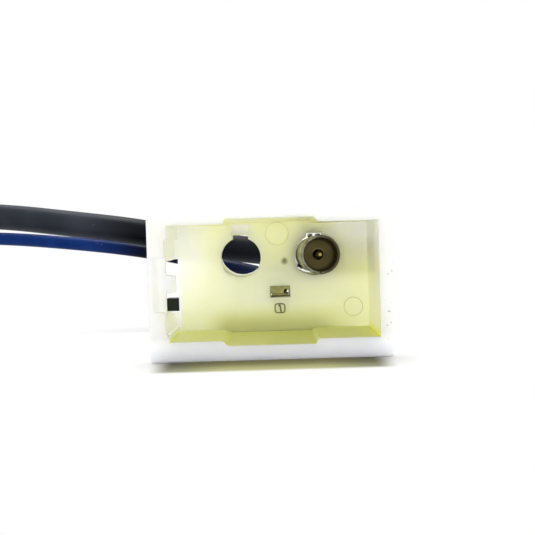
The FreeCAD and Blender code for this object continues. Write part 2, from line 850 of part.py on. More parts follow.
def build():
    """Every piece of the adapter by name."""
    coax_start = contact_point(tail_back)
    coax_points = [coax_start, coax_start + contact_way() * coax_exit]
    coax_points += [Vector(*p) for p in coax_route]
    wire_start = Vector(cell_x, deep(wire_grip_front), cell_z)
    wire_points = [wire_start, wire_start + Vector(0, wire_exit, 0)]
    wire_points += [Vector(*p) for p in wire_route]
    pieces = {
        "housing": housing(),
        "lock_bar": lock_bar(),
        "antenna_shell": antenna_shell(),
        "antenna_insulator": antenna_insulator(),
        "antenna_pin": antenna_pin(),
        "crimp_sleeve": crimp_sleeve(),
        "power_contact": power_contact(),
    }
    pieces.update(cable_end(
        "at_socket", tail_length - shell_wall * 2, tail_back - insulator_back - core_grip,
        tail_back - insulator_back + pin_collar / 2, coax_start, -contact_way(),
    ))
    strands = wire_grip_front - contact_back - barrel_gap / 2
    pieces["strands_at_socket"] = rod(
        cell_x, cell_z, strand_radius, wire_grip_front - strands, wire_grip_front
    )
    pieces["coax_lead"] = cord("coaxial lead", coax_points, jacket_radius)
    pieces["power_wire"] = cord("power wire", wire_points, wire_radius)

    plug_way = way_of(coax_points)
    plug_start = coax_points[-1] - plug_way * cap_neck_length
    plug_pieces = {
        "plug_cap": plug_cap(),
        "plug_sleeve": plug_sleeve(),
        "plug_disc": plug_disc(),
        "plug_pin": plug_pin(),
        "plug_clamp": plug_clamp(),
    }
    for name, shape in plug_pieces.items():
        pieces[name] = placed(shape, plug_start, plug_way)
    pieces.update(cable_end(
        "at_plug", tail_length, plug_sleeve_seat - plug_tail_length - cap_neck_length,
        plug_sleeve_seat + plug_disc_length / 2 - cap_neck_length, coax_points[-1], plug_way,
    ))

    bullet_way = way_of(wire_points)
    bullet_start = wire_points[-1] - bullet_way * bullet_cover_overhang
    pieces["bullet_terminal"] = placed(bullet_terminal(), bullet_start, bullet_way)
    pieces["bullet_cover"] = placed(bullet_cover(), bullet_start, bullet_way)
    strands = sleeve_of(0, strand_radius, 0, bullet_barrel_length)
    pieces["strands_at_bullet"] = placed(strands, wire_points[-1], bullet_way)
    return pieces


os.makedirs("parts", exist_ok=True)
for name, shape in build().items():
    print(f"{name}: solids {len(shape.Solids)}, valid {shape.isValid()}, volume {shape.Volume:.2f}")
    shape.exportStep(f"parts/{name}.step")
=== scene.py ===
"""Dresses the antenna adapter: its nylon socket, contacts, lead, power wire, plug and bullet.

Metres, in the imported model's own frame: +Z up, the socket's mouth faces -Y.
"""

import json
import math

import bpy
import numpy as np
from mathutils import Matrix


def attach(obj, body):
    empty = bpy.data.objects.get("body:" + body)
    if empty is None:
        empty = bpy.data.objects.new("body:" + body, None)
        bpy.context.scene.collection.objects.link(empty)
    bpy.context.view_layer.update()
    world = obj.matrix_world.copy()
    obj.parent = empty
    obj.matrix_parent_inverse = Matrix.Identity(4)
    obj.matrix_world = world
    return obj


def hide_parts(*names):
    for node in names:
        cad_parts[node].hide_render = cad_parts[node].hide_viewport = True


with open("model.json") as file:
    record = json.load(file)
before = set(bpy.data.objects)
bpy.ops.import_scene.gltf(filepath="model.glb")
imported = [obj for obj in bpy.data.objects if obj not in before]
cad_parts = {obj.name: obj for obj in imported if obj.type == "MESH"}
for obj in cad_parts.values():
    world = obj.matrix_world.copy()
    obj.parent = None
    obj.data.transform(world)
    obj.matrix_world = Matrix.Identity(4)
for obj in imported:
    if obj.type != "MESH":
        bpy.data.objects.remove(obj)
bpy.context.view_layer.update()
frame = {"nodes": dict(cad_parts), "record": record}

bl_info = {
    "name": "Antenna Adapter",
    "version": (1, 0, 0),
    "blender": (4, 5, 0),
    "location": "View3D > Sidebar > Adapter",
    "description": "Dresses a car antenna adapter: nylon socket, contacts, lead, plug and wire",
    "category": "Object",
}

MM = 0.001
BODY = "root"
BACK_WALL_Y = -0.15 * MM

# Places on the back wall and round it, in millimetres: x and z, and a radius where a third is given
PIN_BORE = (5.44, 10.96, 0.7)
GATE_DIMPLE = (1.73, 10.1)
CONTACTS_MIDDLE = (2.6, 9.6)
LEFT_KEYWAY_TOP = (-3.4, 13.95)
MARK_PLACE = (1.03, 4.54)
EJECTOR_RINGS = ((0.9, 13.35, 1.35), (9.7, 4.5, 1.1))

# Along x, in millimetres: where painted shade turns the shell black, where the right outer face
# begins to carry more dirt, and where the jackets come out of the dark behind the socket on either
# side
SHELL_SHADE = (4.0, 6.6)
DIRTY_FACE = (12.0, 12.4)
JACKET_LEFT = (-17, -29)
JACKET_BEHIND = (-20, -4)

# The raised lines on the back wall, in millimetres
MARK_HEIGHT = 0.1
RING_WIDTH = 0.08
RING_HEIGHT = 0.012

# The painted shadow on the floor before the mouth, tinted olive, in millimetres: its middle, half
# of its extent and the softness of its edge along x and y, then where its tint and its ends change
STRIP_X = (0.0, 11.6, 1.2)
STRIP_Y = (-16.6, 4.4, 1.0)
STRIP_FADE = (-20, -14)
STRIP_ENDS = (4, 11)

# The floor, in metres, and the distances from the origin between which it turns plain white
FLOOR_HALF = 3.0
FLOOR_DROP = 0.02 * MM
FLOOR_WHITE = (18 * MM, 42 * MM)

# The camera in millimetres and in degrees, and the lamps in metres: place, target and size
CAMERA_PLACE = (0, -125.15, 13.57)
CAMERA_TURN = (88.084, 1.701, 0.081)
TOP_LAMP = ((-0.012, 0.16, 0.42), (0, 0, 0.005), (0.3, 0.3))
LOW_LAMPS = (
    ("front_lamp", (0.0, -0.42, 0.036), (0.5, 0.07), "front_power"),
    ("left_lamp", (-0.36, -0.26, 0.036), (0.3, 0.07), "side_power"),
    ("right_lamp", (0.36, -0.26, 0.036), (0.3, 0.07), "side_power"),
)
LOW_TARGET = (0, 0, 0.008)

# The cords' routes, in millimetres: control points from inside the contact to the far end
COAX_ROUTE = (
    (5.263, 10.649, 10.596), (5.208, 16.798, 10.485), (2.95, 23.9, 10.6), (-2.5, 29.95, 10.95),
    (-10.3, 33.1, 12.1), (-19.5, 33.2, 14.25), (-29.6, 34.7, 15.65), (-40.2, 38.6, 17.1),
    (-52.0, 40.2, 17.85), (-64.6, 36.4, 16.9), (-76.6, 28.6, 13.4), (-85.8, 17.6, 8.4),
    (-90.9, 4.3, 3.9), (-92.6, -10.6, 1.97), (-90.6, -25.4, 1.97), (-82.6, -37.4, 1.97),
    (-69.8, -43.8, 1.97), (-55.6, -42.6, 1.97), (-44.6, -33.4, 2.3), (-39.6, -20.2, 4.0),
    (-40.0, -8.0, 5.4), (-42.4, 3.4, 5.4),
)
WIRE_ROUTE = (
    (1.11, 9.75, 6.51), (1.11, 15.4, 6.51), (-0.6, 21.6, 7.7), (-4.9, 26.7, 8.6),
    (-11.4, 29.4, 9.85), (-19.6, 30.0, 11.55), (-29.3, 31.4, 12.8), (-40.2, 35.2, 13.8),
    (-52.6, 38.2, 14.2), (-66.0, 35.2, 13.0), (-78.2, 27.6, 9.4), (-85.6, 17.0, 4.6),
    (-88.2, 5.4, 1.5), (-88.6, -7.4, 0.9), (-86.0, -19.6, 0.9), (-78.6, -29.0, 0.9),
    (-67.6, -33.2, 0.9), (-57.8, -30.4, 1.3), (-52.4, -22.0, 2.0), (-50.6, -13.4, 2.0),
)


def record_colour(slot, default):
    """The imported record's colour of a material slot, or a default, with alpha."""
    for entry in frame["record"].get("materials", []):
        if entry["slot"] == slot:
            return tuple(entry["base_color"][:3]) + (1.0,)
    return default + (1.0,)


def colour(name, description, default):
    """A colour property of a settings group."""
    return bpy.props.FloatVectorProperty(
        name=name, description=description, default=default, subtype="COLOR", size=4, min=0, max=1
    )


def length(name, description, default):
    """A length property of a settings group, given in millimetres."""
    return bpy.props.FloatProperty(
        name=name, description=description, default=default * MM, unit="LENGTH", precision=5, min=0
    )


def share(name, description, default, high=1.0):
    """A plain number property of a settings group."""
    return bpy.props.FloatProperty(
        name=name, description=description, default=default, min=0, max=high, subtype="FACTOR"
    )


def power(name, description, default):
    """A lamp's power in a settings group, in watts."""
    return bpy.props.FloatProperty(
        name=name, description=description, default=default, min=0, unit="POWER"
    )


def scaled(tint, factor, lift=0.0):
    """An opaque colour: min(1, factor c + lift) of each channel of another."""
    return tuple(min(1.0, c * factor + lift) for c in tint[:3]) + (1.0,)


# Meshes


def grid_faces(rows, columns, wrap_rows, wrap_columns):
    """Quads between each four neighbours of a grid, closed round a wrapped direction."""
    i = np.arange(rows if wrap_rows else rows - 1)
    j = np.arange(columns if wrap_columns else columns - 1)
    i, j = np.meshgrid(i, j, indexing="ij")
    below, beside = (i + 1) % rows, (j + 1) % columns
    corners = (
        i * columns + j, i * columns + beside, below * columns + beside, below * columns + j
    )
    return np.stack([c.ravel() for c in corners], axis=1)


def skin(name, points, wrap_rows=False, wrap_columns=False, ends=False):
    """An object whose mesh spans a grid of points.

    ends closes the first and the last row with a face.
    """
    rows, columns = points.shape[:2]
    faces = grid_faces(rows, columns, wrap_rows, wrap_columns).tolist()
    if ends:
        faces += [list(range(columns))[::-1], list(range((rows - 1) * columns, rows * columns))]
    mesh = bpy.data.meshes.new(name)
    mesh.from_pydata(points.reshape(-1, 3).tolist(), [], faces)
    mesh.validate()
    mesh.shade_smooth()
    piece = bpy.data.objects.new(name, mesh)
    bpy.context.scene.collection.objects.link(piece)
    return piece


def joined(name, pieces):
    """One object with the meshes of several."""
    first = pieces[0]
    if len(pieces) > 1:
        with bpy.context.temp_override(active_object=first, selected_editable_objects=pieces):
            bpy.ops.object.join()
    first.name = first.data.name = name
    return first


def ridge(name, line, width, height, face_y, closed=False, steps=7, sunk=0.15):
    """A raised rounded line on a wall that faces -Y.

    The line is (x, z) points in metres. The section is a half ellipse, sunk by a share of its
    height into the wall: across = w/2 cos(v), out = h (sin(v) - sunk), with v from 0 to pi. It is
    carried along the line on the normal n of each point: P = line + across n - out y.
    """
    line = np.asarray(line, dtype=float)
    if closed:
        tangent = np.roll(line, -1, axis=0) - np.roll(line, 1, axis=0)
    else:
        tangent = np.gradient(line, axis=0)
    tangent /= np.linalg.norm(tangent, axis=1)[:, None]
    normal = np.stack([tangent[:, 1], -tangent[:, 0]], axis=1)
    v = np.linspace(0, math.pi, steps)
    across = width / 2 * np.cos(v)
    out = height * (np.sin(v) - sunk)
    points = np.empty((len(line), len(v), 3))
    points[:, :, 0] = line[:, None, 0] + across[None, :] * normal[:, None, 0]
    points[:, :, 2] = line[:, None, 1] + across[None, :] * normal[:, None, 1]
    points[:, :, 1] = face_y - out[None, :]
    return skin(name, points, wrap_rows=closed, wrap_columns=True, ends=not closed)


def rounded(points, steps=6):
    """A smooth line near corner points c, between the middles a and b of its runs.

    Each corner is a quadratic blend: P = (1 - t)^2 a + 2 t (1 - t) c + t^2 b, with t from 0 to 1.
    """
    p = np.asarray(points, dtype=float)
    mids = (p[:-1] + p[1:]) / 2
    t = np.linspace(0, 1, steps)[:, None]
    parts = [p[:1]]
    for start, corner, end in zip(mids[:-1], p[1:-1], mids[1:]):
        parts.append((1 - t) ** 2 * start + 2 * t * (1 - t) * corner + t ** 2 * end)
    parts.append(p[-1:])
    line = np.concatenate(parts)
    keep = np.concatenate([[True], np.linalg.norm(np.diff(line, axis=0), axis=1) > 1e-7])
    return line[keep]


def ring_line(x, z, radius, steps=48):
    """A circle of (x, z) points."""
    a = np.linspace(0, 2 * math.pi, steps, endpoint=False)
    return np.stack([x + radius * np.cos(a), z + radius * np.sin(a)], axis=1)


def cord_curve(name, route, radius):
    """A round cord: a NURBS curve of order 3 with the route's points as its control points."""
    curve = bpy.data.curves.new(name, "CURVE")
    curve.dimensions = "3D"
    curve.resolution_u = 14
    curve.bevel_depth = radius
    curve.bevel_resolution = 7
    curve.use_fill_caps = True
    spline = curve.splines.new("NURBS")
    spline.points.add(len(route) - 1)
    flat = np.ones((len(route), 4))
    flat[:, :3] = np.asarray(route) * MM
    spline.points.foreach_set("co", flat.ravel())
    spline.use_endpoint_u = True
    spline.order_u = 3
    piece = bpy.data.objects.new(name, curve)
    bpy.context.scene.collection.objects.link(piece)
    return piece


def spline_length(piece):
    """The length of a curve object's own line."""
    curve = piece.data.copy()
    curve.bevel_depth = 0
    bare = bpy.data.objects.new("bare_line", curve)
    mesh = bpy.data.meshes.new_from_object(bare)
    points = np.empty(len(mesh.vertices) * 3)
    mesh.vertices.foreach_get("co", points)
    bpy.data.objects.remove(bare)
    bpy.data.curves.remove(curve)
    bpy.data.meshes.remove(mesh)
    return float(np.linalg.norm(np.diff(points.reshape(-1, 3), axis=0), axis=1).sum())


# Shader node groups


def new_group(name, inputs, outputs):
    """An empty shader node group with float, vector or colour sockets and its two end nodes."""
    kinds = {"value": "NodeSocketFloat", "vector": "NodeSocketVector", "colour": "NodeSocketColor"}
    group = bpy.data.node_groups.new(name, "ShaderNodeTree")
    for label, kind, default in inputs:
        socket = group.interface.new_socket(label, in_out="INPUT", socket_type=kinds[kind])
        if default is not None:
            socket.default_value = default
    for label, kind in outputs:
        group.interface.new_socket(label, in_out="OUTPUT", socket_type=kinds[kind])
    return group, group.nodes.new("NodeGroupInput"), group.nodes.new("NodeGroupOutput")


def node(tree, kind, settings=None, **inputs):
    """A node with its settings and inputs: a socket of another node is linked, a value is set.

    An input is named by its label with underscores, or as at and its index.
    """
    made = tree.nodes.new(kind)
    for key, value in (settings or {}).items():
        setattr(made, key, value)
    for key, value in inputs.items():
        label = key.replace("_", " ") if not key.startswith("at") else int(key[2:])
        socket = made.inputs[label]
        if isinstance(value, bpy.types.NodeSocket):
            tree.links.new(value, socket)
        else:
            socket.default_value = value
    return made


def ramp(tree, value, low, high, out_low=0.0, out_high=1.0):
    """A smooth step of a value, from out_low at low to out_high at high; low may be the larger."""
    made = node(
        tree, "ShaderNodeMapRange", {"interpolation_type": "SMOOTHSTEP"},
        Value=value, From_Min=low, From_Max=high, To_Min=out_low, To_Max=out_high,
    )
    return made.outputs["Result"]


def maths(tree, operation, first, second=0.0, clamp=False):
    """A Math node's result."""
    settings = {"operation": operation, "use_clamp": clamp}
    return node(tree, "ShaderNodeMath", settings, at0=first, at1=second).outputs[0]


def within(tree, value, centre, half, edge=0.12):
    """1 where a value lies within half of a centre, with a soft edge; all given in millimetres."""
    off = maths(tree, "ABSOLUTE", maths(tree, "SUBTRACT", value, centre * MM))
    return ramp(tree, off, (half + edge) * MM, (half - edge) * MM)


def axes(tree, place):
    """The X, Y and Z sockets of a position."""
    return node(tree, "ShaderNodeSeparateXYZ", Vector=place).outputs


def away_from(tree, place, x, z):
    """The distance of a position from the line along y through x and z, given in millimetres."""
    flat = node(tree, "ShaderNodeVectorMath", {"operation": "MULTIPLY"}, at0=place, at1=(1, 0, 1))
    spot = (x * MM, 0, z * MM)
    off = node(
        tree, "ShaderNodeVectorMath", {"operation": "DISTANCE"}, at0=flat.outputs[0], at1=spot
    )
    return off.outputs["Value"]


def blended(tree, factor, first, second, mode="MIX"):
    """A colour mix."""
    made = node(tree, "ShaderNodeMix", {"data_type": "RGBA", "blend_type": mode})
    for index, value in ((0, factor), (6, first), (7, second)):
        if isinstance(value, bpy.types.NodeSocket):
            tree.links.new(value, made.inputs[index])
        else:
            made.inputs[index].default_value = value
    return made.outputs[2]


def grain_group():
    """Fine moulded grain: noise at two scales as a height, and a slow cloud as a mask."""
    group, start, end = new_group(
        "Moulded grain",
        [("Position", "vector", None), ("Size", "value", 900.0)],
        [("Height", "value"), ("Cloud", "value")],
    )
    size = start.outputs["Size"]
    fine = node(
        group, "ShaderNodeTexNoise", Vector=start.outputs["Position"], Scale=size, Detail=3.0
    )
    slow = maths(group, "MULTIPLY", size, 0.16)
    cloud = node(
        group, "ShaderNodeTexNoise", Vector=start.outputs["Position"], Scale=slow, Detail=2.0
    )
    group.links.new(fine.outputs[0], end.inputs["Height"])
    group.links.new(ramp(group, cloud.outputs[0], 0.35, 0.65), end.inputs["Cloud"])
    return group


def speck_group():
    """Small dirt specks: the middles of sparse cells, where a second noise is high.

    Amount lowers the noise's limit from 0.82, so that more cells keep their speck.
    """
    group, start, end = new_group(
        "Dirt specks",
        [("Position", "vector", None), ("Size", "value", 700.0), ("Amount", "value", 0.4)],
        [("Mask", "value")],
    )
    place = start.outputs["Position"]
    cells = node(
        group, "ShaderNodeTexVoronoi", Vector=place, Scale=start.outputs["Size"], Randomness=1.0
    )
    dots = ramp(group, cells.outputs["Distance"], 0.16, 0.07)
    thin = node(group, "ShaderNodeTexNoise", Vector=place, Scale=220.0, Detail=1.0)
    limit = maths(group, "SUBTRACT", 0.82, maths(group, "MULTIPLY", start.outputs["Amount"], 0.3))
    few = ramp(group, thin.outputs[0], limit, maths(group, "ADD", limit, 0.05))
    group.links.new(maths(group, "MULTIPLY", dots, few), end.inputs["Mask"])
    return group


def streak_group():
    """Rolling and handling streaks: noise drawn out along one axis of the piece."""
    group, start, end = new_group(
        "Drawn streaks",
        [("Position", "vector", None), ("Size", "value", 1500.0)],
        [("Height", "value"), ("Mask", "value")],
    )
    lines = node(
        group, "ShaderNodeTexNoise", Vector=start.outputs["Position"],
        Scale=start.outputs["Size"], Detail=3.0,
    )
    group.links.new(lines.outputs[0], end.inputs["Height"])
    group.links.new(ramp(group, lines.outputs[0], 0.4, 0.62), end.inputs["Mask"])
    return group


def nylon_group():
    """Natural nylon's colour over the object's coordinates, with light and shade painted in.

    Rim: the first 0.9 mm of depth, with Lip along its bottom side, painted lighter as light there.
    Wall: all that lies behind it in the mouth, painted lighter and yellower than the Rim as light
    inside the mouth. Deep: the floor, and a share of it on the ceiling, painted deep yellow as
    light seen through the nylon's depth. Shade: painted shade on the low middle of the back wall,
    and a
    share of it round the contacts. Pale: painted light on both side walls, the upper corners and
    over the left keyway, as light through thin nylon. Smudge is the dirt in the gate's dimple.
    """
    group, start, end = new_group(
        "Natural nylon",
        [
            ("Position", "vector", None), ("Rim", "colour", None), ("Lip", "colour", None),
            ("Wall", "colour", None), ("Deep", "colour", None), ("Shade", "colour", None),
            ("Pale", "colour", None),
        ],
        [("Colour", "colour"), ("Smudge", "value")],
    )
    place = start.outputs["Position"]
    x, y, z = axes(group, place)

    def both(first, second):
        """Where two masks overlap."""
        return maths(group, "MULTIPLY", first, second)

    def either(first, *others):
        """Where any of some masks lies."""
        for other in others:
            first = maths(group, "MAXIMUM", first, other)
        return first

    def step(value, low, high, top=1.0):
        """A smooth step between two lengths in millimetres, up to a top share."""
        return ramp(group, value, low * MM, high * MM, 0.0, top)

    # The room of the mouth: behind the rim, between its walls and before the back wall
    across = both(step(x, -12.8, -11.6), step(x, 12.6, 11.9))
    height = both(step(z, 0.9, 1.7), step(z, 15.3, 14.9))
    inside = both(step(y, -13.1, -12.25), both(across, height))
    before_back = step(y, -0.3, -1.2)

    # The painted shade: the back wall's low middle, and round the contacts
    middle = both(step(x, -8.8, -4.6), step(x, 10.5, 4.5))
    low_middle = both(both(step(z, 5.6, 2.5), step(y, -3.0, -0.6)), middle)
    round_contacts = step(away_from(group, place, *CONTACTS_MIDDLE), 8.0, 2.5, 0.1)
    shade = either(low_middle, round_contacts)

    # The floor and a share of the ceiling, painted deep yellow as light seen through the nylon's
    # depth
    floor = both(step(z, 3.2, 2.1), before_back)
    ceiling = both(step(z, 13.6, 14.6, 0.25), before_back)

    # Painted light where light comes through thin nylon: upper corners, over the left keyway, and
    # the side walls
    upper_left = both(step(x, -6.0, -10.0), step(z, 5.0, 11.0, 0.7))
    upper_right = both(step(x, 5.5, 10.5), step(z, 8.5, 13.5, 0.9))
    key_x, key_z = LEFT_KEYWAY_TOP
    over_key = both(within(group, x, key_x, 1.0), within(group, z, key_z, 0.55))
    sides = both(either(step(x, -10.45, -10.75), step(x, 11.6, 12.0)), step(z, 2.0, 2.8))
    pale = either(upper_left, upper_right, over_key, sides)

    tint = blended(group, shade, start.outputs["Wall"], start.outputs["Shade"])
    tint = blended(group, either(floor, ceiling), tint, start.outputs["Deep"])
    tint = blended(group, pale, tint, start.outputs["Pale"])
    # Painted light: Lip makes the rim's bottom side lighter.
    rim = blended(group, step(z, 2.8, 1.6), start.outputs["Rim"], start.outputs["Lip"])
    group.links.new(blended(group, inside, rim, tint), end.inputs["Colour"])
    dimple = step(away_from(group, place, *GATE_DIMPLE), 0.6, 0.1, 0.6)
    group.links.new(both(dimple, inside), end.inputs["Smudge"])
    return group


GROUPS = {}


def shared(name):
    """A node group by name, made the first time it is asked for."""
    makers = {
        "Moulded grain": grain_group, "Dirt specks": speck_group,
        "Drawn streaks": streak_group, "Natural nylon": nylon_group,
    }
    if name not in GROUPS:
        GROUPS[name] = makers[name]()
    return GROUPS[name]


def placed_group(tree, name, **inputs):
    """A node group's node in a material, with its inputs."""
    return node(tree, "ShaderNodeGroup", {"node_tree": shared(name)}, **inputs)


# Materials


def new_material(name, roughness=0.5, metallic=0.0, **plain):
    """A material with its Principled shader, and its object coordinates.

    plain holds more of the shader's inputs, each by its label with underscores.
    """
    made = bpy.data.materials.new(name)
    made.use_nodes = True
    tree = made.node_tree
    shader = tree.nodes["Principled BSDF"]
    shader.inputs["Roughness"].default_value = roughness
    shader.inputs["Metallic"].default_value = metallic
    for key, value in plain.items():
        shader.inputs[key.replace("_", " ")].default_value = value
    place = node(tree, "ShaderNodeTexCoord").outputs["Object"]
    return made, tree, shader, place


def stretched(tree, place, scale):
    """The coordinates squeezed by a factor along each axis, so that a pattern is drawn out."""
    return node(tree, "ShaderNodeMapping", Vector=place, Scale=scale).outputs[0]


def bumped(tree, shader, height, strength, distance):
    """Leads a height into the shader's normal."""
    bump = node(tree, "ShaderNodeBump", Strength=strength, Distance=distance, Height=height)
    tree.links.new(bump.outputs[0], shader.inputs["Normal"])


def roughened(tree, shader, low, mask, spread):
    """Leads low + spread * mask into the shader's roughness."""
    rough = maths(tree, "ADD", low, maths(tree, "MULTIPLY", mask, spread))
    tree.links.new(rough, shader.inputs["Roughness"])


def nylon_material(settings):
    """Natural nylon: satin, translucent, with fine grain and a few specks."""
    made, tree, shader, place = new_material(
        "natural_nylon", IOR=1.53, Subsurface_Weight=0.85, Subsurface_Radius=(1.0, 0.95, 0.62),
        Subsurface_Scale=4.0 * MM,
    )
    # The group paints light and shade into the nylon's colour by region of the mouth.
    tint = placed_group(
        tree, "Natural nylon", Position=place, Rim=settings.rim, Lip=settings.lip,
        Wall=settings.wall, Deep=settings.deep, Shade=settings.shade, Pale=settings.pale,
    ).outputs
    grain = placed_group(tree, "Moulded grain", Position=place, Size=1400.0).outputs
    bloom = blended(tree, 1.0, tint["Colour"], settings.bloom, "MULTIPLY")
    cloud = maths(tree, "MULTIPLY", grain["Cloud"], 0.35)
    cloudy = blended(tree, cloud, tint["Colour"], bloom)
    low, high = DIRTY_FACE
    amount = ramp(
        tree, axes(tree, place)["X"], low * MM, high * MM, settings.dirt, 4.0 * settings.dirt
    )
    specks = placed_group(tree, "Dirt specks", Position=place, Size=1900.0, Amount=amount)
    dirt = maths(tree, "MAXIMUM", specks.outputs["Mask"], tint["Smudge"])
    dirty = blended(tree, dirt, cloudy, settings.speck)
    tree.links.new(dirty, shader.inputs["Base Color"])
    roughened(tree, shader, 0.36, grain["Cloud"], 0.12)
    bumped(tree, shader, grain["Height"], 0.25, 0.02 * MM)
    return made


def plastic_material(name, tint, roughness, size=1600.0, depth=0.3, sheen=0.5, painted_light_bore=None):
    """Plain moulded plastic: fine grain and a slow change of shade.

    size is the grain's scale and depth its strength. The last argument is the x, z and radius in
    millimetres of a hole along y whose wall is painted twice as light, as painted light in the
    hole.
    """
    made, tree, shader, place = new_material(name, roughness, 0.0, Specular_IOR_Level=sheen)
    grain = placed_group(tree, "Moulded grain", Position=place, Size=size).outputs
    cloud = maths(tree, "MULTIPLY", grain["Cloud"], 0.6)
    mixed = blended(tree, cloud, tuple(tint), scaled(tint, 1.5, 0.004))
    if painted_light_bore:
        x, z, radius = painted_light_bore
        outer, inner = (radius + 0.01) * MM, (radius - 0.03) * MM
        wall = ramp(tree, away_from(tree, place, x, z), outer, inner)
        mixed = blended(tree, wall, mixed, scaled(tint, 2))
    tree.links.new(mixed, shader.inputs["Base Color"])
    roughened(tree, shader, roughness - 0.05, grain["Cloud"], 0.1)
    bumped(tree, shader, grain["Height"], depth, 0.02 * MM)
    return made


def metal_material(name, tint, roughness, along=(1.0, 0.08, 1.0), dull=0.75, painted_shade=None):
    """Plated or bare metal: streaks drawn along the piece, with duller patches.

    along squeezes the streaks along each axis, and dull is the patches' share of the tint. The last
    argument is a pair of x in millimetres between which the metal turns to a third value, a colour,
    as painted shade.
    """
    made, tree, shader, place = new_material(name, roughness, 1.0)
    drawn = stretched(tree, place, along)
    streaks = placed_group(tree, "Drawn streaks", Position=drawn, Size=2200.0).outputs
    grain = placed_group(tree, "Moulded grain", Position=place, Size=1300.0).outputs
    patch = maths(tree, "MULTIPLY", maths(tree, "ADD", streaks["Mask"], grain["Cloud"]), 0.4)
    mixed = blended(tree, patch, tuple(tint), scaled(tint, dull))
    if painted_shade:
        low, high, black = painted_shade
        mask = ramp(tree, axes(tree, place)["X"], low * MM, high * MM)
        mixed = blended(tree, mask, mixed, tuple(black))
    tree.links.new(mixed, shader.inputs["Base Color"])
    roughened(tree, shader, roughness - 0.06, streaks["Mask"], 0.16)
    bumped(tree, shader, streaks["Height"], 0.18, 0.015 * MM)
    return made


def jacket_material(name, tint, light, dust_tint, roughness):
    """An extruded jacket: a slow change of shade and a little dust.

    The colour fades to a tenth of itself behind the socket, where little light reaches the cord,
    and comes back in part behind the empty chamber.
    """
    made, tree, shader, place = new_material(
        name, roughness, 0.0, IOR=1.4, Specular_IOR_Level=0.09
    )
    x = axes(tree, place)["X"]
    left = ramp(tree, x, JACKET_LEFT[0] * MM, JACKET_LEFT[1] * MM, 0.1, 1.0)
    behind = ramp(tree, x, JACKET_BEHIND[0] * MM, JACKET_BEHIND[1] * MM, 0.1, 0.22)
    open_air = maths(tree, "MAXIMUM", left, behind)
    grain = placed_group(tree, "Moulded grain", Position=place, Size=800.0).outputs
    dust = placed_group(tree, "Dirt specks", Position=place, Size=1500.0, Amount=0.7)
    cloud = maths(tree, "MULTIPLY", grain["Cloud"], 0.7)
    mixed = blended(tree, cloud, tuple(tint), tuple(light))
    dusty = blended(
        tree, maths(tree, "MULTIPLY", dust.outputs["Mask"], 0.5), mixed, tuple(dust_tint)
    )
    shaded = blended(tree, open_air, (0.0, 0.0, 0.0, 1), dusty)
    tree.links.new(shaded, shader.inputs["Base Color"])
    roughened(tree, shader, roughness - 0.05, grain["Cloud"], 0.12)
    bumped(tree, shader, grain["Height"], 0.2, 0.03 * MM)
    return made


def braid_material(tint):
    """Braided copper: two crossing sets of fine waves round and along the piece."""
    made, tree, shader, place = new_material("tinned_braid", 0.4, 1.0)
    sets = []
    for turn in (0.7, -0.7):
        turned = node(tree, "ShaderNodeMapping", Vector=place, Rotation=(turn, turn, turn))
        wave = node(
            tree, "ShaderNodeTexWave", {"bands_direction": "X"}, Vector=turned.outputs[0],
            Scale=1100.0, Distortion=0.6,
        )
        sets.append(wave.outputs["Fac"])
    over = maths(tree, "MAXIMUM", sets[0], sets[1])
    mixed = blended(tree, over, scaled(tint, 0.35), tuple(tint))
    tree.links.new(mixed, shader.inputs["Base Color"])
    bumped(tree, shader, over, 0.6, 0.06 * MM)
    return made


def dress(piece, material):
    """Gives a piece its material."""
    piece.data.materials.clear()
    piece.data.materials.append(material)


def dress_nodes(material, *names):
    """Gives CAD pieces that keep their shape a material."""
    for name in names:
        slots = frame["nodes"][name].data.materials
        if not len(slots):
            slots.append(material)
        for index in range(len(slots)):
            slots[index] = material


# Settings


class AdapterNylon(bpy.types.PropertyGroup):
    """The socket's nylon and the raised marks on it."""
    # One nylon coloured apart by painted light and shade: lip, wall, floor and thin parts painted
    # lighter or yellower than the rim as light, the low back wall painted darker as shade.
    rim: colour("Rim", "Nylon at the thin front rim", (0.78, 0.775, 0.755, 1))
    lip: colour("Bottom lip", "Nylon along the rim's bottom side", (0.995, 0.99, 0.975, 1))
    wall: colour("Wall", "Nylon inside the mouth", (0.975, 0.985, 0.71, 1))
    deep: colour("Floor", "Nylon seen through its length", (0.96, 0.99, 0.27, 1))
    shade: colour("Low back wall", "Nylon of the back wall's low middle", (0.6, 0.61, 0.3, 1))
    pale: colour("Thin parts", "Nylon of the side walls and corners", (0.995, 0.995, 0.99, 1))
    bloom: colour("Clouding", "Tint that slow patches are multiplied by", (0.93, 0.94, 0.88, 1))
    speck: colour("Specks", "Dirt specks and the dirt in the gate's dimple", (0.09, 0.08, 0.05, 1))
    dirt: share("Dirt", "How many dark specks the faces carry", 0.35)
    mark_width: length("Mark width", "Width of the raised mould mark on the back wall", 1.15)
    mark_line: length("Mark line", "Width of the mark's raised line", 0.15)
    # A plain dark colour over all of the mark's raised lines.
    darkening: colour("Mark grime", "Dirt along the mark's lines", (0.13, 0.13, 0.045, 1))
    ring: colour("Ejector rings", "Faint edges of the ejectors' discs", (0.66, 0.68, 0.42, 1))


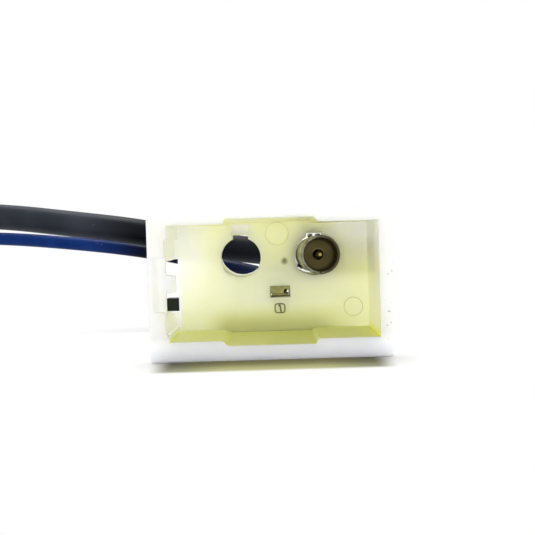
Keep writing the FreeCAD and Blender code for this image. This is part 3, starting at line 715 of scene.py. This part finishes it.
class AdapterMetal(bpy.types.PropertyGroup):
    """The contacts' metals."""
    tin: colour("Tin", "Tinned sheet of the crimps", record_colour("tin", (0.72, 0.71, 0.68)))
    shell: colour("Shell", "Dull tinned sheet of the antenna contact", (0.42, 0.41, 0.31, 1))
    # Painted shade: the black of the shell's right side.
    painted_shade: colour("Shaded shell", "Black of the shell's worn side", (0.07, 0.06, 0.035, 1))
    tarnish: colour("Tarnished brass", "Dull sheet of the power contact", (0.36, 0.35, 0.14, 1))
    gilt: colour("Gold", "Dull gold of the centre pin", (0.42, 0.35, 0.1, 1))
    nickel: colour("Nickel", "Aerial plug", record_colour("nickel", (0.75, 0.74, 0.7)))
    brass: colour("Brass", "Bullet", record_colour("brass", (0.78, 0.62, 0.33)))
    copper: colour("Copper", "Bare strands", record_colour("copper", (0.72, 0.42, 0.26)))
    braid: colour("Braid", "Stripped braid", record_colour("braid", (0.66, 0.6, 0.55)))


class AdapterPlastic(bpy.types.PropertyGroup):
    """The small plastic pieces."""
    lock: colour("Side lock", "Dark side lock", (0.011, 0.015, 0.01, 1))
    insulator: colour("Insulator", "Brown disc in the antenna contact", (0.22, 0.18, 0.068, 1))
    polythene: colour(
        "Polythene", "Dielectric of the cable", record_colour("dielectric", (0.85, 0.86, 0.84))
    )
    grip: colour("Grip", "Plug's grip", record_colour("black_grip", (0.025, 0.025, 0.028)))
    cover: colour("Cover", "Bullet's cover", record_colour("blue_cover", (0.03, 0.1, 0.42)))


class AdapterCords(bpy.types.PropertyGroup):
    """The lead and the power wire."""
    coax_diameter: length("Lead diameter", "Diameter of the coaxial lead's jacket", 3.9)
    wire_diameter: length("Wire diameter", "Diameter of the power wire's jacket", 1.9)
    coax_tint: colour("Lead", "Black jacket", (0.024, 0.028, 0.037, 1))
    coax_light: colour("Lead bloom", "Paler patches of the black jacket", (0.042, 0.047, 0.06, 1))
    wire_tint: colour("Wire", "Blue jacket", (0.004, 0.02, 0.11, 1))
    wire_light: colour("Wire bloom", "Paler patches of the blue jacket", (0.009, 0.038, 0.2, 1))
    dust: colour("Dust", "Dust on both jackets", (0.3, 0.31, 0.33, 1))


class AdapterStage(bpy.types.PropertyGroup):
    """The floor, the lamps and the camera."""
    floor: colour("Floor", "Colour of the floor", (0.95, 0.95, 0.94, 1))
    # Painted shadow on the floor before the mouth, tinted olive, and the paler colour of its far
    # edge.
    through: colour("Under the socket", "Light through nylon on the floor", (0.17, 0.15, 0.0, 1))
    painted_shadow_edge: colour("Shadow's edge", "That light towards the shadow's end", (0.5, 0.5, 0.2, 1))
    lens: bpy.props.FloatProperty(
        name="Lens", description="Focal length of the camera", default=71.33, min=1, unit="CAMERA"
    )
    top_power: power("Top lamp", "Power of the lamp above and behind", 2.1)
    front_power: power("Front lamp", "Power of the lamp in front", 0.58)
    side_power: power("Side lamps", "Power of each of the lamps beside it", 0.52)
    world: share("World", "Strength of the light from all round", 0.42, 2.0)


# Operators


def white_rays(tree):
    """1 for camera, glossy and transmission rays, which see floor and world as plain white."""
    rays = node(tree, "ShaderNodeLightPath").outputs
    seen = maths(tree, "ADD", rays["Is Camera Ray"], rays["Is Glossy Ray"])
    return maths(tree, "ADD", seen, rays["Is Transmission Ray"], clamp=True)


class ADAPTER_OT_stage(bpy.types.Operator):
    """Makes the floor, the lamps, the world and the camera"""
    bl_idname = "adapter.stage"
    bl_label = "Stage"

    def execute(self, context):
        settings = context.scene.adapter_stage
        scene = context.scene
        scene.view_settings.view_transform = "Standard"
        floor = self.make_floor(settings)
        self.make_world(scene, settings)
        self.lamp("top_lamp", *TOP_LAMP, settings.top_power)
        beside = bpy.data.collections.new("out_of_front_light")
        beside.objects.link(floor)
        beside.collection_objects[0].light_linking.link_state = "EXCLUDE"
        for name, place, size, key in LOW_LAMPS:
            lamp = self.lamp(name, place, LOW_TARGET, size, getattr(settings, key))
            lamp.visible_glossy = False
            lamp.light_linking.receiver_collection = beside
        camera = bpy.data.objects.new("camera", bpy.data.cameras.new("camera"))
        camera.data.lens = settings.lens
        camera.data.sensor_width = 36
        camera.data.clip_start = 0.005
        camera.location = [c * MM for c in CAMERA_PLACE]
        camera.rotation_euler = [math.radians(c) for c in CAMERA_TURN]
        scene.collection.objects.link(camera)
        scene.camera = camera
        return {"FINISHED"}

    def lamp(self, name, place, target, size, watts):
        """An area lamp, wide by high, whose -Z axis points at a target."""
        light = bpy.data.lights.new(name, "AREA")
        light.shape = "RECTANGLE"
        light.size, light.size_y = size
        light.energy = watts
        lamp = bpy.data.objects.new(name, light)
        lamp.location = place
        way = np.subtract(target, place)
        tilt = math.atan2(math.hypot(way[0], way[1]), -way[2])
        lamp.rotation_euler = (tilt, 0, math.atan2(-way[0], way[1]))
        bpy.context.scene.collection.objects.link(lamp)
        return lamp

    def make_floor(self, settings):
        """A wide flat floor that turns white away from the part and keeps the shadow and a painted
        shadow near it.
        """
        u, v = np.meshgrid(np.linspace(-1, 1, 3), np.linspace(-1, 1, 3), indexing="ij")
        corners = [v * FLOOR_HALF, -u * FLOOR_HALF, np.full_like(u, -FLOOR_DROP)]
        floor = skin("floor", np.stack(corners, axis=2))
        made, tree, shader, place = new_material("pale_floor", 0.9)
        grain = placed_group(tree, "Moulded grain", Position=place, Size=60.0)
        plain = blended(
            tree, grain.outputs["Cloud"], tuple(settings.floor), scaled(settings.floor, 0.985)
        )
        x, y, _ = axes(tree, place)
        # Painted shadow: an olive strip of floor before the mouth, paler towards its far edge and
        # darker at its ends.
        painted_shadow_mask = maths(tree, "MULTIPLY", within(tree, x, *STRIP_X), within(tree, y, *STRIP_Y))
        fade = ramp(tree, y, STRIP_FADE[0] * MM, STRIP_FADE[1] * MM)
        strip = blended(tree, fade, tuple(settings.painted_shadow_edge), tuple(settings.through))
        off = maths(tree, "ABSOLUTE", x)
        ends = ramp(tree, off, STRIP_ENDS[0] * MM, STRIP_ENDS[1] * MM, 0.0, 0.6)
        strip = blended(tree, ends, strip, (0.0, 0.0, 0.0, 1))
        painted_shadow_floor = blended(tree, painted_shadow_mask, plain, strip, "MULTIPLY")
        tree.links.new(painted_shadow_floor, shader.inputs["Base Color"])
        glow = node(tree, "ShaderNodeEmission", Color=(1, 1, 1, 1), Strength=1.0)
        reach = node(tree, "ShaderNodeVectorMath", {"operation": "LENGTH"}, at0=place)
        away = ramp(tree, reach.outputs["Value"], *FLOOR_WHITE, 0.04, 1.0)
        white = maths(tree, "MULTIPLY", white_rays(tree), away)
        mixed = node(tree, "ShaderNodeMixShader", at0=white)
        tree.links.new(shader.outputs[0], mixed.inputs[1])
        tree.links.new(glow.outputs[0], mixed.inputs[2])
        tree.links.new(mixed.outputs[0], tree.nodes["Material Output"].inputs["Surface"])
        dress(floor, made)
        return floor

    def make_world(self, scene, settings):
        """Even light from all round, which camera, glossy and transmission rays see as white."""
        world = bpy.data.worlds.new("studio")
        world.use_nodes = True
        scene.world = world
        tree = world.node_tree
        tree.nodes.clear()
        soft = node(
            tree, "ShaderNodeBackground", Color=(0.97, 0.98, 1.0, 1), Strength=settings.world
        )
        white = node(tree, "ShaderNodeBackground", Color=(1, 1, 1, 1), Strength=1.0)
        mixed = node(tree, "ShaderNodeMixShader", at0=white_rays(tree))
        tree.links.new(soft.outputs[0], mixed.inputs[1])
        tree.links.new(white.outputs[0], mixed.inputs[2])
        end = node(tree, "ShaderNodeOutputWorld")
        tree.links.new(mixed.outputs[0], end.inputs["Surface"])


class ADAPTER_OT_coax_lead(bpy.types.Operator):
    """Makes the black coaxial lead along its route in place of the model's own"""
    bl_idname = "adapter.coax_lead"
    bl_label = "Coaxial lead"

    def execute(self, context):
        settings = context.scene.adapter_cords
        lead = cord_curve("lead_jacket", COAX_ROUTE, settings.coax_diameter / 2)
        black = jacket_material(
            "black_jacket", settings.coax_tint, settings.coax_light, settings.dust, 0.42
        )
        dress(lead, black)
        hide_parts("coax_lead")
        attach(lead, BODY)
        spline_length(lead)
        return {"FINISHED"}


class ADAPTER_OT_power_wire(bpy.types.Operator):
    """Makes the thin blue power wire along its route in place of the model's own"""
    bl_idname = "adapter.power_wire"
    bl_label = "Power wire"

    def execute(self, context):
        settings = context.scene.adapter_cords
        wire = cord_curve("wire_jacket", WIRE_ROUTE, settings.wire_diameter / 2)
        blue = jacket_material(
            "blue_jacket", settings.wire_tint, settings.wire_light, settings.dust, 0.38
        )
        dress(wire, blue)
        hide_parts("power_wire")
        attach(wire, BODY)
        spline_length(wire)
        return {"FINISHED"}


class ADAPTER_OT_socket(bpy.types.Operator):
    """Finishes the nylon socket and adds the raised marks of its mould"""
    bl_idname = "adapter.socket"
    bl_label = "Nylon socket"

    def execute(self, context):
        settings = context.scene.adapter_nylon
        nylon = nylon_material(settings)
        dress_nodes(nylon, "housing")
        figure, rings = self.marks(settings)
        # The mould mark's raised lines take a plain dark colour.
        mark_material = plastic_material("grimy_nylon", settings.darkening, 0.5, sheen=0.2)
        faint = plastic_material("ring_nylon", settings.ring, 0.5)
        marks = (("mould_mark", figure, mark_material), ("ejector_rings", rings, faint))
        for name, pieces, material in marks:
            piece = joined(name, pieces)
            dress(piece, material)
            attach(piece, BODY)
        return {"FINISHED"}

    def marks(self, settings):
        """A plain figure in a rounded frame, and rings round the ejectors' discs.

        The frame is a superellipse w wide and 0.92 w high, with a from 0 to 2 pi:
        x = w/2 sgn(cos a) |cos a|^0.5, z = 0.46 w sgn(sin a) |sin a|^0.5.
        """
        wide, line = settings.mark_width, settings.mark_line
        middle = np.array(MARK_PLACE) * MM
        a = np.linspace(0, 2 * math.pi, 48, endpoint=False)
        bend = np.stack([np.cos(a), np.sin(a)], axis=1)
        border = np.sign(bend) * np.abs(bend) ** 0.5 * (wide / 2, wide * 0.46) + middle
        strokes = np.array([(-0.14, 0.22), (0.02, 0.38), (0.1, -0.38)]) * wide + middle
        height = MARK_HEIGHT * MM
        figure = [
            ridge("frame", border, line, height, BACK_WALL_Y, True),
            ridge("figure", rounded(strokes), line * 1.2, height, BACK_WALL_Y),
        ]
        rings = []
        for x, z, radius in EJECTOR_RINGS:
            circle = ring_line(x * MM, z * MM, radius * MM)
            rings.append(
                ridge("ring", circle, RING_WIDTH * MM, RING_HEIGHT * MM, BACK_WALL_Y, True)
            )
        return figure, rings


class ADAPTER_OT_lock(bpy.types.Operator):
    """Finishes the dark side lock"""
    bl_idname = "adapter.lock"
    bl_label = "Side lock"

    def execute(self, context):
        plastics = context.scene.adapter_plastic
        dress_nodes(plastic_material("dark_plastic", plastics.lock, 0.5, sheen=0.12), "lock_bar")
        return {"FINISHED"}


class ADAPTER_OT_antenna_contact(bpy.types.Operator):
    """Finishes the coaxial contact: shell, insulator, gilt pin, crimp and stripped cable"""
    bl_idname = "adapter.antenna_contact"
    bl_label = "Antenna contact"

    def execute(self, context):
        metals = context.scene.adapter_metal
        plastics = context.scene.adapter_plastic
        dress_nodes(metal_material("tinned_sheet", metals.tin, 0.34), "crimp_sleeve", "plug_clamp")
        # Painted shade: the shell turns black along its right side.
        shell = metal_material(
            "shell_sheet", metals.shell, 0.4, along=(1.0, 0.3, 1.0), dull=0.2,
            painted_shade=(*SHELL_SHADE, metals.painted_shade),
        )
        dress_nodes(shell, "antenna_shell")
        # Painted light: the wall of the pin's bore in the insulator is made twice as light.
        brown = plastic_material(
            "brown_plastic", plastics.insulator, 0.55, sheen=0.15, painted_light_bore=PIN_BORE
        )
        dress_nodes(brown, "antenna_insulator")
        dress_nodes(metal_material("gold_plate", metals.gilt, 0.3), "antenna_pin")
        pale = plastic_material("polythene", plastics.polythene, 0.4)
        dress_nodes(pale, "dielectric_at_socket", "dielectric_at_plug", "plug_disc")
        dress_nodes(braid_material(metals.braid), "braid_at_socket", "braid_at_plug")
        copper = metal_material("bare_copper", metals.copper, 0.35)
        dress_nodes(
            copper, "core_at_socket", "core_at_plug", "strands_at_socket", "strands_at_bullet"
        )
        return {"FINISHED"}


class ADAPTER_OT_power_contact(bpy.types.Operator):
    """Finishes the folded power contact"""
    bl_idname = "adapter.power_contact"
    bl_label = "Power contact"

    def execute(self, context):
        metals = context.scene.adapter_metal
        dress_nodes(metal_material("tarnished_brass", metals.tarnish, 0.36), "power_contact")
        return {"FINISHED"}


class ADAPTER_OT_aerial_plug(bpy.types.Operator):
    """Finishes the aerial plug on the lead's far end"""
    bl_idname = "adapter.aerial_plug"
    bl_label = "Aerial plug"

    def execute(self, context):
        nickel = context.scene.adapter_metal.nickel
        grip = context.scene.adapter_plastic.grip
        plated = metal_material("nickel_plate", nickel, 0.24, dull=0.85)
        dress_nodes(plated, "plug_sleeve", "plug_pin")
        soft = plastic_material("black_grip", grip, 0.55, size=900.0, depth=0.5)
        dress_nodes(soft, "plug_cap")
        return {"FINISHED"}


class ADAPTER_OT_bullet(bpy.types.Operator):
    """Finishes the bullet terminal and its soft cover"""
    bl_idname = "adapter.bullet"
    bl_label = "Bullet terminal"

    def execute(self, context):
        brass = context.scene.adapter_metal.brass
        cover = context.scene.adapter_plastic.cover
        dress_nodes(metal_material("bare_brass", brass, 0.3), "bullet_terminal")
        dress_nodes(plastic_material("blue_cover", cover, 0.42, size=1000.0), "bullet_cover")
        return {"FINISHED"}


class ADAPTER_PT_panel(bpy.types.Panel):
    """Lists the operators and the settings"""
    bl_idname = "ADAPTER_PT_panel"
    bl_label = "Antenna Adapter"
    bl_space_type = "VIEW_3D"
    bl_region_type = "UI"
    bl_category = "Adapter"

    def draw(self, context):
        for operator in OPERATORS:
            self.layout.operator(operator.bl_idname)
        for name, group in SETTINGS.items():
            box = self.layout.box()
            for key in group.__annotations__:
                box.prop(getattr(context.scene, name), key)


OPERATORS = (
    ADAPTER_OT_stage, ADAPTER_OT_coax_lead, ADAPTER_OT_power_wire, ADAPTER_OT_socket,
    ADAPTER_OT_lock, ADAPTER_OT_antenna_contact, ADAPTER_OT_power_contact,
    ADAPTER_OT_aerial_plug, ADAPTER_OT_bullet,
)
SETTINGS = {
    "adapter_nylon": AdapterNylon, "adapter_metal": AdapterMetal,
    "adapter_plastic": AdapterPlastic, "adapter_cords": AdapterCords,
    "adapter_stage": AdapterStage,
}


def register():
    """Registers the settings, the operators and the panel."""
    for name, settings in SETTINGS.items():
        bpy.utils.register_class(settings)
        setattr(bpy.types.Scene, name, bpy.props.PointerProperty(type=settings))
    for operator in OPERATORS:
        bpy.utils.register_class(operator)
    bpy.utils.register_class(ADAPTER_PT_panel)


def unregister():
    """Takes the panel, the operators and the settings away again."""
    bpy.utils.unregister_class(ADAPTER_PT_panel)
    for operator in reversed(OPERATORS):
        bpy.utils.unregister_class(operator)
    for name, settings in SETTINGS.items():
        delattr(bpy.types.Scene, name)
        bpy.utils.unregister_class(settings)


def main():
    """Registers the add-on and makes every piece."""
    register()
    for operator in OPERATORS:
        group, name = operator.bl_idname.split(".")
        getattr(getattr(bpy.ops, group), name)()


if __name__ == "__main__":
    main()
